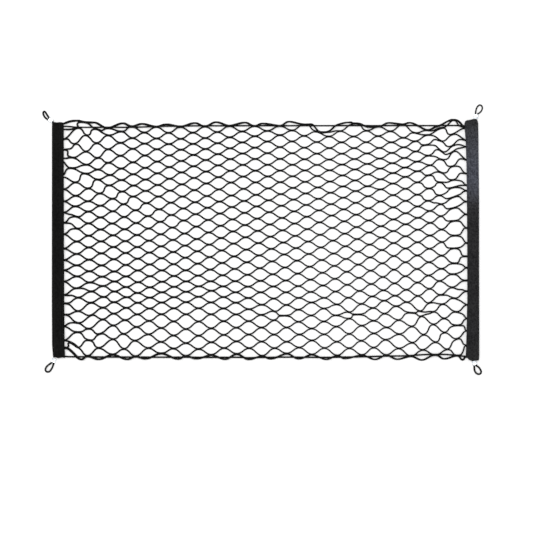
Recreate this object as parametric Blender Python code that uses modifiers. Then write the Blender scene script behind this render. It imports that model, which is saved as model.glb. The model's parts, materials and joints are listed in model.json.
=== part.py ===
"""Luggage net, 0.90 x 0.51 m, lying flat: a knotless diamond mesh between two folded bands, with an
edge cord along each long side and an elastic loop in a metal clip at each corner.

Metres, +Z up. X runs along the net from band to band, Y across it, and the net lies on Z = 0. Its plan
is set out in units of 1/427.6 of its length (2.1 mm), with x to the right and y DOWN from a corner of
the layout sheet; place() turns a point of that sheet into metres about the net's centre."""

import math

import bmesh
import bpy
from mathutils import Vector

LENGTH = 0.900  # over both bands
UNIT = LENGTH / 427.6
SHEET_MIDDLE = (265.5, 239.9)

# The mesh, as one plate with the mesh's gaps in it
NET_THICK = 0.0029
JOINT_HALF = 2.5 * UNIT  # half the length over which two strands run side by side
SIDE_CLEAR = 0.5 * UNIT  # from a joint's end to the point of a gap
JOINT_CLEAR = 1.0 * UNIT  # from a joint's middle to the flat of a gap
MOST_GAPS = 440  # the largest of the 592 whole meshes
SLOT_EDGE = (55.0, 475.3)  # where the mesh's sewn edges end, inside the bands
EDGE_STEP = (72.0, 457.5)  # between these the edge meshes reach out past the edge cords
RAMP = ((65.5, 74.0), (463.0, 454.0))  # the mesh comes down from its band over this width

# The bands, folded over the mesh's ends
LAYER = 0.0012
SLOT = 0.0046
FOLD_STEPS = 4
CLEAR = 0.0003

# The cords and clips
CORD = 0.0038  # the edge cords and the loops at their ends
LEG_GAP = 0.00035  # between the two legs of a loop where they enter the clip
CLIP_SIZE = (0.0092, 0.0082, 0.0050)  # across the legs, along them, thick
CLIP_EDGE = 0.0014

# Height on the sheet of each row of joints where it crosses these columns of the mesh
STATIONS = (0, 2, 4, 6, 10, 14, 18, 22, 26, 28, 30, 32)
JOINT_ROWS = (
    (129.0, 122.3, 128.0, 126.5, 126.8, 125.9, 125.9, 132.0, 126.5, 124.2, 130.0, 120.2),
    (139.2, 135.0, 135.0, 137.8, 138.6, 137.0, 134.8, 136.4, 136.0, 137.5, 135.2, 133.5),
    (149.7, 151.3, 149.0, 148.5, 149.4, 148.0, 146.8, 148.0, 147.7, 147.0, 144.5, 146.3),
    (158.7, 164.5, 162.5, 162.0, 160.7, 158.8, 158.6, 159.3, 158.3, 157.7, 155.4, 152.0),
    (176.5, 173.5, 175.0, 174.0, 172.1, 170.5, 170.3, 170.0, 168.3, 167.3, 165.2, 166.0),
    (189.2, 188.4, 185.3, 185.5, 184.3, 182.5, 182.1, 181.5, 179.2, 176.8, 175.2, 179.6),
    (201.4, 201.2, 198.7, 196.5, 196.5, 195.5, 194.1, 192.7, 189.3, 188.7, 188.4, 187.9),
    (212.5, 211.5, 211.2, 210.2, 208.4, 207.0, 205.7, 204.1, 201.5, 200.8, 200.7, 196.5),
    (222.8, 223.3, 223.5, 223.0, 220.5, 219.3, 217.9, 215.5, 213.8, 213.2, 210.9, 207.9),
    (234.2, 235.7, 235.3, 235.0, 233.5, 231.4, 230.3, 227.9, 226.2, 224.2, 222.8, 220.8),
    (248.6, 247.4, 247.0, 247.0, 245.6, 243.6, 242.5, 240.6, 237.5, 236.2, 235.5, 235.5),
    (260.1, 259.7, 259.2, 258.7, 257.7, 256.4, 254.4, 253.5, 250.0, 248.5, 248.7, 248.5),
    (270.3, 271.3, 271.5, 270.5, 270.3, 268.9, 267.5, 265.9, 263.3, 262.2, 262.2, 263.3),
    (281.5, 282.5, 281.5, 282.2, 281.4, 281.2, 280.5, 278.8, 277.0, 276.2, 275.5, 274.0),
    (295.0, 291.5, 291.5, 292.8, 291.8, 292.3, 292.3, 291.6, 290.3, 289.8, 288.8, 287.2),
    (303.7, 302.7, 302.2, 303.0, 302.1, 302.7, 305.0, 304.5, 300.7, 302.2, 303.8, 298.0),
    (314.6, 315.6, 313.7, 314.3, 314.3, 314.4, 315.5, 315.5, 313.7, 313.0, 312.5, 311.8),
    (326.3, 328.8, 325.5, 327.0, 329.1, 327.7, 327.5, 326.6, 327.5, 326.5, 324.0, 325.4),
    (339.7, 339.2, 339.2, 340.7, 343.2, 341.4, 341.8, 341.8, 339.8, 342.8, 342.5, 338.8),
    (347.5, 356.0, 354.5, 356.3, 355.9, 353.9, 353.5, 355.5, 355.0, 356.2, 354.7, 355.5),
)
# x on the sheet of the same columns, where five of those rows cross them
COLUMN_X = {
    0: (64.5, 84.5, 107.0, 132.0, 180.5, 229.5, 280.0, 328.0, 379.0, 403.0, 428.0, 453.5),
    5: (64.5, 88.0, 109.0, 133.5, 181.8, 230.9, 280.3, 330.0, 380.5, 405.7, 428.9, 453.2),
    9: (64.5, 88.5, 113.0, 137.0, 184.5, 232.9, 282.5, 332.3, 381.0, 405.8, 430.5, 454.0),
    13: (64.5, 89.5, 114.5, 138.0, 186.1, 235.2, 285.9, 335.2, 383.0, 405.5, 428.5, 453.5),
    19: (64.5, 87.5, 112.5, 135.5, 185.5, 236.4, 286.4, 336.8, 386.0, 411.0, 436.0, 457.3),
}
# Where the joints meet the right-hand band, a half-step below the rows of their neighbours
LAST_COLUMN = 33
LAST_X = 466.5
LAST_ROWS = (
    128.5, 140.9, 146.9, 160.6, 174.0, 185.4, 190.9, 201.8, 214.2, 228.2,
    243.1, 256.3, 267.7, 280.5, 291.2, 304.6, 318.7, 330.8, 345.3,
)  # fmt: skip

# The outermost points of the edge meshes, at the odd columns: column, x, y on the sheet
TOP_BIGHTS = (
    (1, 77.0, 120.6), (3, 94.0, 122.4), (5, 122.5, 123.2), (7, 142.0, 123.8), (9, 166.0, 124.0),
    (11, 195.0, 122.9), (13, 216.0, 122.0), (15, 245.0, 122.4), (17, 262.5, 123.4), (19, 289.5, 121.7),
    (21, 311.0, 124.0), (23, 347.0, 122.2), (25, 369.0, 127.2), (27, 389.0, 122.8), (29, 410.0, 122.6),
    (31, 447.0, 121.2),
)  # fmt: skip
BOTTOM_BIGHTS = (
    (1, 81.0, 359.5), (3, 99.0, 359.3), (5, 127.0, 359.3), (7, 146.0, 358.8), (9, 177.7, 359.0),
    (11, 197.0, 358.7), (13, 225.0, 359.0), (15, 249.0, 359.1), (17, 270.5, 359.0), (19, 299.0, 358.6),
    (21, 326.0, 359.0), (23, 345.0, 358.5), (25, 375.0, 359.5), (27, 397.5, 359.3), (29, 422.0, 360.0),
    (31, 443.5, 359.0),
)  # fmt: skip

# Each band, from its top end to its bottom end: inner edge x, y, folded edge x, y on the sheet
BANDS = {
    "band_left": (
        (63.3, 122.4, 52.3, 121.6),
        (63.8, 126.0, 51.9, 126.0),
        (63.8, 180.0, 51.7, 180.0),
        (63.9, 240.0, 51.8, 240.0),
        (64.2, 300.0, 52.2, 300.0),
        (64.8, 350.0, 52.7, 350.0),
        (65.0, 357.9, 53.1, 357.9),
    ),
    "band_right": (
        (465.3, 120.6, 477.2, 118.9),
        (464.3, 124.0, 478.1, 122.5),
        (465.3, 160.0, 478.3, 160.0),
        (466.5, 200.0, 478.6, 200.0),
        (467.2, 240.0, 478.9, 240.0),
        (467.5, 300.0, 479.2, 300.0),
        (466.4, 345.0, 479.3, 345.0),
        (465.9, 356.2, 479.3, 355.6),
        (469.0, 359.8, 478.9, 360.9),
    ),
}

# The edge cords' run from inside one band to inside the other: x, y on the sheet
EDGE_CORDS = {
    "edge_cord_top": (
        (55.0, 126.2), (65.5, 126.3), (71.5, 126.7), (80.0, 127.2), (130.0, 127.2), (180.0, 126.0),
        (250.0, 125.7), (350.0, 125.6), (452.0, 125.5), (458.0, 125.6), (463.0, 125.8), (475.0, 126.0),
    ),
    "edge_cord_bottom": (
        (55.5, 356.5), (65.5, 356.5), (71.5, 356.7), (110.0, 357.0), (200.0, 357.3), (340.0, 357.2),
        (380.0, 356.3), (405.0, 355.8), (425.0, 354.6), (445.0, 354.5), (452.0, 354.9),
        (458.0, 355.4), (463.5, 356.2), (475.0, 357.0),
    ),
}  # fmt: skip

# Each corner's clip: middle x, y on the sheet, and which way its loop leaves it, in degrees from +X
CLIPS = {
    "clip_top_left": (50.6, 120.2, 145.0),
    "clip_top_right": (476.1, 116.5, 80.0),
    "clip_bottom_left": (53.6, 360.4, 250.0),
    "clip_bottom_right": (474.55, 362.95, 285.0),
}
# Each loop from one leg to the other: x, y on the sheet, between the two places where it enters its clip
LOOPS = {
    "loop_top_left": (
        (46.3, 118.6), (44.8, 117.2), (43.6, 115.3), (43.0, 113.2), (43.3, 111.9), (44.2, 111.4),
        (45.2, 111.9), (46.1, 113.4), (47.2, 115.2), (48.2, 116.7),
    ),
    "loop_top_right": (
        (475.8, 112.0), (476.1, 110.2), (476.8, 108.0), (478.1, 105.9), (480.0, 104.9), (481.8, 105.8),
        (482.5, 107.9), (481.8, 110.3), (480.4, 112.1), (478.9, 113.2),
    ),
    "loop_bottom_left": (
        (50.4, 363.5), (48.4, 364.9), (46.6, 366.6), (45.4, 368.8), (45.6, 371.0), (47.4, 372.0),
        (49.5, 371.4), (51.2, 369.3), (52.4, 367.0), (53.2, 364.9),
    ),
    "loop_bottom_right": (
        (474.4, 367.5), (474.5, 369.5), (475.2, 371.7), (476.9, 373.6), (479.0, 374.2), (480.8, 373.3),
        (481.2, 371.4), (480.3, 369.4), (478.8, 367.3), (477.3, 366.3),
    ),
}  # fmt: skip
LOOP_STEPS = 2  # points between two of those

COLOURS = {  # base colour, roughness, metallic
    "net": ((0.018, 0.018, 0.020), 0.72, 0.0),
    "band_left": ((0.020, 0.020, 0.022), 0.80, 0.0),
    "band_right": ((0.032, 0.033, 0.038), 0.80, 0.0),
    "cord": ((0.016, 0.016, 0.018), 0.65, 0.0),
    "clip": ((0.72, 0.74, 0.76), 0.28, 1.0),
}


def place(x, y):
    """Metres from the net's centre of a point of the layout sheet."""
    return Vector(((x - SHEET_MIDDLE[0]) * UNIT, (SHEET_MIDDLE[1] - y) * UNIT))


def blend(x, xs, ys):
    """Straight-line interpolation in a short table, level past its ends."""
    if x <= xs[0]:
        return ys[0]
    for a, b, at_a, at_b in zip(xs, xs[1:], ys, ys[1:]):
        if x <= b:
            return at_a + (at_b - at_a) * (x - a) / (b - a)
    return ys[-1]


def joint(column, row):
    """Where two strands meet, in metres. Odd columns lie half a mesh below the even ones."""
    if column == LAST_COLUMN:
        return place(LAST_X, LAST_ROWS[row])
    if column % 2:
        around = [(column - 1, row), (column - 1, row + 1)]
        around += [(column + 1, row), (column + 1, row + 1)] if column + 1 < LAST_COLUMN else []
        points = [joint(*where) for where in around]
        return sum(points, Vector((0.0, 0.0))) / len(points)
    rows = sorted(COLUMN_X)
    across = [blend(row, rows, [COLUMN_X[r][n] for r in rows]) for n in range(len(STATIONS))]
    return place(blend(column, STATIONS, across), blend(column, STATIONS, JOINT_ROWS[row]))


def gap(column, row):
    """The four corners of the gap between joints row and row + 1 of a column."""
    side = row if column % 2 == 0 else row + 1
    upper, lower = joint(column, row), joint(column, row + 1)
    left, right = joint(column - 1, side), joint(column + 1, side)
    along = Vector((JOINT_HALF + SIDE_CLEAR, 0.0))
    down = Vector((0.0, -JOINT_CLEAR))
    return left + along, lower - down, right - along, upper + down


def area(corners):
    a, b, c, d = corners
    return abs((c - a).cross(d - b)) / 2


def largest_gaps():
    """The MOST_GAPS largest meshes, leaving the last ones beside the bands' corners whole."""
    found = []
    for column in range(1, LAST_COLUMN):
        last = 18 if column % 2 == 0 else 17
        for row in range(last + 1):
            at_corner = column in (1, 2, 31, 32) and row in (0, last)
            corners = gap(column, row)
            # each must be an upright lozenge, or the mesh is closed up there
            open_here = corners[3].y > max(corners[0].y, corners[2].y) > min(
                corners[0].y, corners[2].y
            ) > corners[1].y and corners[2].x > corners[0].x
            if open_here and not at_corner:
                found.append((area(corners), corners))
    found.sort(key=lambda item: -item[0])
    return [corners for _, corners in found[:MOST_GAPS]]


def edge_line(bights, row, outward):
    """The mesh's wavy long edge, left to right: out at each odd column, in at the joints between."""
    points = []
    for column, x, y in bights:
        points.append(place(x, y) + Vector((0.0, outward * 0.6 * UNIT)))
        if column + 1 < LAST_COLUMN - 1:
            points.append(joint(column + 1, row) + Vector((0.0, outward * 1.1 * UNIT)))
    return points


def net_outline():
    """Round the plate, clear of the edge cords where they enter the bands with it."""
    left, right = SLOT_EDGE
    step_in, step_out = EDGE_STEP
    top = edge_line(TOP_BIGHTS, 0, 1)
    bottom = edge_line(BOTTOM_BIGHTS, 19, -1)
    return (
        [place(left, 127.6), place(step_in, 127.9), place(step_in + 1.0, 120.9)]
        + top
        + [place(step_out - 2.0, 119.3), place(step_out, 127.2), place(right, 127.3)]
        + [place(right, 354.2), place(step_out, 353.9), place(step_out - 1.0, 356.4)]
        + bottom[::-1]
        + [place(step_in + 0.5, 358.2), place(step_in - 0.5, 355.3), place(left, 355.2)]
    )


def parts_collection():
    made = bpy.data.collections.new("luggage_net")
    bpy.context.scene.collection.children.link(made)
    return made


def material(name, key):
    colour, roughness, metallic = COLOURS[key]
    made = bpy.data.materials.new(name)
    made.use_nodes = True
    shader = made.node_tree.nodes["Principled BSDF"]
    shader.inputs["Base Color"].default_value = (*colour, 1.0)
    shader.inputs["Roughness"].default_value = roughness
    shader.inputs["Metallic"].default_value = metallic
    made.diffuse_color = (*colour, 1.0)
    return made


def flat_curve(name, outlines, thick):
    """A filled 2D curve: the first outline with the others as holes in it."""
    curve = bpy.data.curves.new(name, "CURVE")
    curve.dimensions = "2D"
    curve.fill_mode = "BOTH"
    curve.extrude = thick / 2
    for outline in outlines:
        spline = curve.splines.new("POLY")
        spline.points.add(len(outline) - 1)
        spline.use_cyclic_u = True
        for point, place_ in zip(spline.points, outline):
            point.co = (place_.x, place_.y, 0.0, 1.0)
    return bpy.data.objects.new(name, curve)


def as_mesh(obj):
    """The object's evaluated mesh with its loose caps welded, in a new object of the same name."""
    bpy.context.scene.collection.objects.link(obj)
    graph = bpy.context.evaluated_depsgraph_get()
    mesh = bpy.data.meshes.new_from_object(obj.evaluated_get(graph))
    name = obj.name
    bpy.data.objects.remove(obj)
    mesh.name = name
    shape = bmesh.new()
    shape.from_mesh(mesh)
    bmesh.ops.remove_doubles(shape, verts=shape.verts, dist=1e-6)
    bmesh.ops.recalc_face_normals(shape, faces=shape.faces)
    shape.to_mesh(mesh)
    shape.free()
    return bpy.data.objects.new(name, mesh)


def lift(x):
    """How high the mesh's underside lies: on the surface, and up into the slot of each band."""
    (left_top, left_foot), (right_top, right_foot) = RAMP
    u = x / UNIT + SHEET_MIDDLE[0]
    share = blend(u, (left_top, left_foot, right_foot, right_top), (1.0, 0.0, 0.0, 1.0))
    return share * (LAYER + CLEAR)


def net(collection):
    made = as_mesh(flat_curve("net", [net_outline(), *largest_gaps()], NET_THICK))
    shape = bmesh.new()
    shape.from_mesh(made.data)
    for u in (x for pair in RAMP for x in pair):  # an edge across the plate wherever it bends
        bmesh.ops.bisect_plane(
            shape,
            geom=shape.verts[:] + shape.edges[:] + shape.faces[:],
            dist=1e-6,
            plane_co=(place(u, 0).x, 0.0, 0.0),
            plane_no=(1.0, 0.0, 0.0),
        )
    for vertex in shape.verts:
        vertex.co.z += NET_THICK / 2 + lift(vertex.co.x)
    bmesh.ops.triangulate(shape, faces=shape.faces)
    shape.to_mesh(made.data)
    shape.free()
    made.data.materials.append(material("net_elastic", "net"))
    collection.objects.link(made)


def fold_profile():
    """Across a band: share of the way to its fold, metres back from it, and height."""
    radius = (SLOT + LAYER) / 2
    low, high = LAYER / 2, LAYER / 2 + 2 * radius
    points = [(0.0, 0.0, low)]
    for n in range(FOLD_STEPS + 1):
        turn = math.pi * n / FOLD_STEPS
        back = LAYER / 2 + radius * (1 - math.sin(turn))
        points.append((1.0, back, low + radius * (1 - math.cos(turn))))
    return [*points, (0.0, 0.0, high)]


def band(name, collection):
    """Webbing folded over an end of the mesh: its U section drawn along the band, then thickened."""
    profile = fold_profile()
    shape = bmesh.new()
    row = [shape.verts.new((0.0, 0.0, 0.0)) for _ in profile]
    edges = [shape.edges.new(pair) for pair in zip(row, row[1:])]
    for number, (inner_x, inner_y, fold_x, fold_y) in enumerate(BANDS[name]):
        if number:
            drawn = bmesh.ops.extrude_edge_only(shape, edges=edges)["geom"]
            new_edges = [e for e in drawn if isinstance(e, bmesh.types.BMEdge)]
            row = [next(v for v in drawn if isinstance(v, bmesh.types.BMVert) and
                        any(e.other_vert(v) is old for e in v.link_edges)) for old in row]  # fmt: skip
            edges = [e for e in new_edges if all(v in row for v in e.verts)]
        inner, fold = place(inner_x, inner_y), place(fold_x, fold_y)
        across = (fold - inner).normalized()
        for vertex, (share, back, height) in zip(row, profile):
            flat = fold - across * back if share else inner
            vertex.co = (flat.x, flat.y, height)
    bmesh.ops.recalc_face_normals(shape, faces=shape.faces)
    mesh = bpy.data.meshes.new(name)
    shape.to_mesh(mesh)
    shape.free()
    made = bpy.data.objects.new(name, mesh)
    mesh.materials.append(material(name + "_webbing", name))
    thick = made.modifiers.new("thickness", "SOLIDIFY")
    thick.thickness = LAYER
    thick.offset = 0.0
    thick.use_even_offset = True
    collection.objects.link(made)


def cord(name, points, diameter, collection):
    """A round cord through points in metres."""
    curve = bpy.data.curves.new(name, "CURVE")
    curve.dimensions = "3D"
    curve.bevel_depth = diameter / 2
    curve.bevel_resolution = 2
    curve.use_fill_caps = True
    spline = curve.splines.new("POLY")
    spline.points.add(len(points) - 1)
    for point, (x, y, z) in zip(spline.points, points):
        point.co = (x, y, z, 1.0)
    made = bpy.data.objects.new(name, curve)
    curve.materials.append(material(name + "_elastic", "cord"))
    collection.objects.link(made)


def edge_cord(name, collection):
    """Straight over the edge meshes, and down into the slot of each band beside them."""
    in_slot = LAYER + CLEAR + CORD / 2
    on_net = NET_THICK + CLEAR + CORD / 2
    (left_top, left_foot), (right_top, right_foot) = RAMP
    xs = (left_top, EDGE_STEP[0] - 1.0, left_foot + 2, right_foot - 2, EDGE_STEP[1] + 0.5, right_top)
    zs = (in_slot, on_net + 0.0006, on_net, on_net, on_net + 0.0011, in_slot)
    route = []
    for x, y in EDGE_CORDS[name]:
        flat = place(x, y)
        route.append((flat.x, flat.y, blend(x, xs, zs)))
    cord(name, route, CORD, collection)


def clip_frame(name):
    """A clip's middle, the way its loop leaves it, and the way to the left of that."""
    x, y, degrees = CLIPS[name]
    turn = math.radians(degrees)
    out = Vector((math.cos(turn), math.sin(turn)))
    return place(x, y), out, Vector((-out.y, out.x))


def clip(name, collection):
    """A flattened metal sleeve round the two legs of its loop, lying on the surface."""
    middle, _, _ = clip_frame(name)
    bpy.ops.mesh.primitive_cube_add(size=1.0)
    made = bpy.context.object
    made.name = made.data.name = name
    for vertex in made.data.vertices:
        vertex.co = [c * s for c, s in zip(vertex.co, CLIP_SIZE)]
    made.location = (middle.x, middle.y, CLIP_SIZE[2] / 2)
    made.rotation_euler = (0.0, 0.0, math.radians(CLIPS[name][2] - 90.0))
    rounded = made.modifiers.new("rounded", "BEVEL")
    rounded.width = CLIP_EDGE
    rounded.segments = 2
    rounded.limit_method = "ANGLE"
    made.data.materials.append(material(name + "_metal", "clip"))
    for owner in list(made.users_collection):
        owner.objects.unlink(made)
    collection.objects.link(made)


def smooth_between(points, steps):
    """Points on a Catmull-Rom curve through the given ones."""
    run = [points[0] * 2 - points[1], *points, points[-1] * 2 - points[-2]]
    found = []
    for p, q, r, s in zip(run, run[1:], run[2:], run[3:]):
        for n in range(steps):
            t = n / steps
            found.append(
                (q * 2 + (r - p) * t + (p * 2 - q * 5 + r * 4 - s) * t**2
                 + (q * 3 - r * 3 + s - p) * t**3) / 2
            )  # fmt: skip
    return [*found, points[-1]]


def loop(name, collection):
    """One bight of cord whose two legs end side by side at the clip's face, 0.3 mm off it."""
    middle, out, left = clip_frame(name.replace("loop", "clip"))
    face = middle + out * (CLIP_SIZE[1] / 2 + CLEAR)
    apart = (CORD + LEG_GAP) / 2
    points = [place(x, y) for x, y in LOOPS[name]]
    if (points[0] - face).dot(left) < 0:
        apart = -apart
    start = [face + left * apart, face + left * apart + out * 0.0012]
    end = [face - left * apart + out * 0.0012, face - left * apart]
    route = [start[0], *smooth_between([start[1], *points, end[0]], LOOP_STEPS), end[1]]
    cord(name, [(p.x, p.y, CORD / 2 + 0.0001) for p in route], CORD, collection)


def main():
    for old in list(bpy.data.objects):
        bpy.data.objects.remove(old)
    collection = parts_collection()
    net(collection)
    for name in BANDS:
        band(name, collection)
    for name in EDGE_CORDS:
        edge_cord(name, collection)
    for name in CLIPS:
        clip(name, collection)
    for name in LOOPS:
        loop(name, collection)


main()
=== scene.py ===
"""Elastic luggage net lying flat, seen from straight above: forty braided cords knit into a knotless
diamond mesh, sewn at both ends into folded tape, with a cord laced along each long edge and a cord loop
in a metal clip at each corner.

Metres, +Z up, on the frame's own places. The net's plan is set out on a layout sheet in units of 2.1 mm,
x to the right and y DOWN, as in the part's own source; place() turns a point of it into metres."""

import json
import math
import random

import bmesh
import bpy
import numpy as np
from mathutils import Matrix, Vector

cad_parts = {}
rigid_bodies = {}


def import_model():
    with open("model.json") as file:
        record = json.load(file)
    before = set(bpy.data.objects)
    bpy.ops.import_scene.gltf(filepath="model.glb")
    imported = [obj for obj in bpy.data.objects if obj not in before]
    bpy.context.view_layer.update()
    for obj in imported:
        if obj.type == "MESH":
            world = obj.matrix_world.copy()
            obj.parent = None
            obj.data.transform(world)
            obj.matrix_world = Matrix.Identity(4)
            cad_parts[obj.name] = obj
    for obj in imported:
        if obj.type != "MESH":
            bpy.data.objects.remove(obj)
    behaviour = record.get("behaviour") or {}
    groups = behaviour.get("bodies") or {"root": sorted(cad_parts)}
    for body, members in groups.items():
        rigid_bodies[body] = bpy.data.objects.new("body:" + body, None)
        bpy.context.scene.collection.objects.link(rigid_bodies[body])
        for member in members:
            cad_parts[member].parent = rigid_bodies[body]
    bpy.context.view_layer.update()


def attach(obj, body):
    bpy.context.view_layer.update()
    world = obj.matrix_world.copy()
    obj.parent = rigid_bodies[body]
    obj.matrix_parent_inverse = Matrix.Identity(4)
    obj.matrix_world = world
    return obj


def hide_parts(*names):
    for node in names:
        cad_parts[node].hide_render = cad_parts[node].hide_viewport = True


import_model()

LENGTH = 0.900
UNIT = LENGTH / 427.6  # one unit of the layout sheet, in metres
SHEET_MIDDLE = (265.5, 239.9)
PHOTO_MIDDLE = 266.5  # the middle of the picture on the layout sheet, both ways
PHOTO_WIDTH = 533.0
LIFT = 0.0001  # how far the cords stay clear of the surface they lie on

STRANDS = 40
COLUMNS = 34
ROWS = 20  # of joints, in the even columns; the odd ones have one less
STRAND_RADIUS = 0.00145
STRAND_SIDES = 8
SLOT_Z = 0.0035  # the middle of the slot in each band
RAMP = ((65.5, 74), (463, 454))  # x on the sheet where the mesh is up in a slot, and down
LEFT_RUN = (7.0, 3.5)  # how far the strands run on inside each band
RIGHT_RUN = (3.5, 6.5)

JOINT_LENGTH = 3.4
FIRST_JOINT = 1.6  # length of the joints beside the left band
JOINT_TILT = 0.6  # as a share of the slope between the joints on both sides
JOINT_OFFSET = 0.37  # of each strand from the joint's middle line
JOINT_PINCH = 0.84  # of a strand's width where it is knit to its neighbour
JOINT_END = 0.6  # how much of that pinch there is at a joint's ends
ENTRY_X = 64.4  # of the straight stretch of a strand that enters the left band on its own
ENTRY_LENGTH = 0.8
BIGHT_HALF = 1.4  # half the straight stretch at the outermost point of an edge mesh
LAST_BIGHT_HALF = 0.4
# How much wider the strands lie where the mesh is slack: x on the sheet, times
SLACK_WIDTH = (
    (66, 1.28), (96, 1.28), (152, 1.19), (208, 1.15), (264, 1.11), (320, 1.01), (376, 1.03),
    (432, 1.09), (464, 1.11),
)  # fmt: skip
EDGE_WIDTH = 1.33  # of the outermost strand on each side, as a share of the others
# Length of a bar, as a share of the straight line between its joints: the usual one, the most for one
# under SHORTEST_BAR, and that of the outermost strands
BAR_SLACK = 1.02
MOST_SLACK = 1.07
SHORTEST_BAR = 9.0
EDGE_SLACK = 1.0
REACHES = (0.15, 1.1)  # the least and most pull of a bar's ends on its curve, as shares of its length
HALVINGS = 12
BAR_POINTS = 6
WANDER_POINTS = 10
CURVE_STEPS = 6  # from one given point to the next, on strands and loops
EASINGS = 2  # times that a strand's corners are eased, because a cord doesn't kink
ARCH = 0.0009  # the most that a bar stands up off the surface between two joints
ARCH_SHARES = (0.15, 1.0)
NET_SEED = 7

# Height on the sheet of each row of joints where it crosses these columns of the mesh
STATIONS = (0, 2, 4, 6, 10, 14, 18, 22, 26, 28, 30, 32)
JOINT_ROWS = (
    (129, 122.5, 128.2, 126.7, 127, 126.1, 126.1, 132.2, 126.7, 124.4, 130.2, 120.4),
    (139.2, 135.2, 135.2, 138, 138.8, 137.2, 135, 136.6, 136.2, 137.7, 135.4, 133.7),
    (149.7, 151.5, 149.2, 148.7, 149.6, 148.2, 147, 148.2, 147.9, 147.2, 144.7, 146.5),
    (158.7, 164.7, 162.7, 162.2, 160.9, 159, 158.8, 159.5, 158.5, 157.9, 155.6, 152.2),
    (176.5, 173.7, 175.2, 174.2, 172.3, 170.7, 170.5, 170.2, 168.5, 167.5, 165.4, 166.2),
    (189.2, 188.4, 185.3, 185.5, 184.3, 182.5, 182.1, 181.5, 179.2, 176.8, 175.2, 179.6),
    (201.4, 201.2, 198.7, 196.5, 196.5, 195.5, 194.1, 192.7, 189.3, 188.7, 188.4, 187.9),
    (212.5, 211.5, 211.2, 210.2, 208.4, 207, 205.7, 204.1, 201.5, 200.8, 200.7, 196.5),
    (222.8, 223.3, 223.5, 223, 220.5, 219.3, 217.9, 215.5, 213.8, 213.2, 210.9, 207.9),
    (234.2, 235.7, 235.3, 235, 233.5, 231.4, 230.3, 227.9, 226.2, 224.2, 222.8, 220.8),
    (248.6, 247.4, 247, 247, 245.6, 243.6, 242.5, 240.6, 237.5, 236.2, 235.5, 235.5),
    (260.1, 259.7, 259.2, 258.7, 257.7, 256.4, 254.4, 253.5, 250, 248.5, 248.7, 248.5),
    (270.3, 271.3, 271.5, 270.5, 270.3, 268.9, 267.5, 265.9, 263.3, 262.2, 262.2, 263.3),
    (281.5, 282.5, 281.5, 282.2, 281.4, 281.2, 280.5, 278.8, 277, 276.2, 275.5, 274),
    (295, 291.5, 291.5, 292.8, 291.8, 292.3, 292.3, 291.6, 290.3, 289.8, 288.8, 287.2),
    (303.7, 302.7, 302.2, 303, 302.1, 302.7, 305, 304.5, 300.7, 302.2, 303.8, 298),
    (314.6, 315.6, 313.7, 314.3, 314.3, 314.4, 315.5, 315.5, 313.7, 313, 312.5, 311.8),
    (326.3, 328.8, 325.5, 327, 329.1, 327.7, 327.5, 326.6, 327.5, 326.5, 324, 325.4),
    (339.7, 339.2, 339.2, 340.7, 343.2, 341.4, 341.8, 341.8, 339.8, 342.8, 342.5, 338.8),
    (347.5, 356, 354.5, 356.3, 355.9, 353.9, 353.5, 355.5, 355, 356.2, 354.7, 355.5),
)
# x on the sheet of the same columns, where five of those rows cross them
COLUMN_X = {
    0: (64.5, 84.5, 107, 132, 180.4, 229.3, 279.8, 327.8, 378.8, 402.8, 427.8, 453.3),
    5: (64.5, 88, 109, 133.5, 181.8, 230.9, 280.3, 330, 380.5, 405.7, 428.9, 453.2),
    9: (64.5, 88.5, 113, 137, 184.5, 232.9, 282.5, 332.3, 381, 405.8, 430.5, 454),
    13: (64.5, 89.5, 114.5, 138, 186.1, 235.2, 285.9, 335.2, 383, 405.5, 428.5, 453.5),
    19: (64.5, 87.6, 112.6, 135.7, 185.9, 236.8, 286.8, 337.2, 386.2, 411, 436, 457.3),
}
# The joints at the right-hand band: height of the right end, degrees down to the right, length
LAST_X = 466.6
LAST_COLUMN = (
    (129.3, 35, 2.4), (140.9, 25, 3.4), (146.9, 8, 2.2), (160.6, 35, 3.4), (174, 20, 3.4),
    (185.4, 15, 2.2), (190.9, 10, 2.2), (201.8, 12, 2.2), (214.6, 15, 2.2), (228.2, 20, 2.2),
    (243.1, 12, 1.6), (256.3, 0, 4.6), (267.7, 0, 1.8), (280.5, 0, 3.8), (291.2, 0, 2), (304.8, 8, 1),
    (318.7, 8, 0.8), (330.8, 5, 1.2), (345.5, 5, 2.2),
)  # fmt: skip
# The outermost points of the edge meshes, at the odd columns: column, x, y on the sheet, and where they
# slope degrees down to the right
TOP_BIGHTS = (
    (1, 77, 120.6), (3, 94, 122.4), (5, 122.5, 123.2), (7, 142, 123.8), (9, 166, 124.3),
    (11, 195, 122.9), (13, 216, 122), (15, 245, 122.4), (17, 262.5, 123.4), (19, 289, 121.5),
    (21, 315.3, 127.6, 50), (23, 347.8, 122.3), (25, 369, 127.2), (27, 389, 122.8), (29, 410, 122.6),
    (31, 447.6, 121.2, -20), (33, 465, 128.5),
)  # fmt: skip
BOTTOM_BIGHTS = (
    (1, 81, 359.5), (3, 99, 359.3), (5, 127, 359.3), (7, 146, 358.8), (9, 177.7, 359), (11, 197, 358.7),
    (13, 225, 359.3), (15, 249, 359.5), (17, 270.5, 359), (19, 299, 358.9), (21, 326, 359.4),
    (23, 345, 358.5), (25, 375, 359.5), (27, 397.5, 359.3), (29, 422, 360.1), (31, 444.5, 358.9),
    (33, 465.2, 357),
)  # fmt: skip

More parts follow.
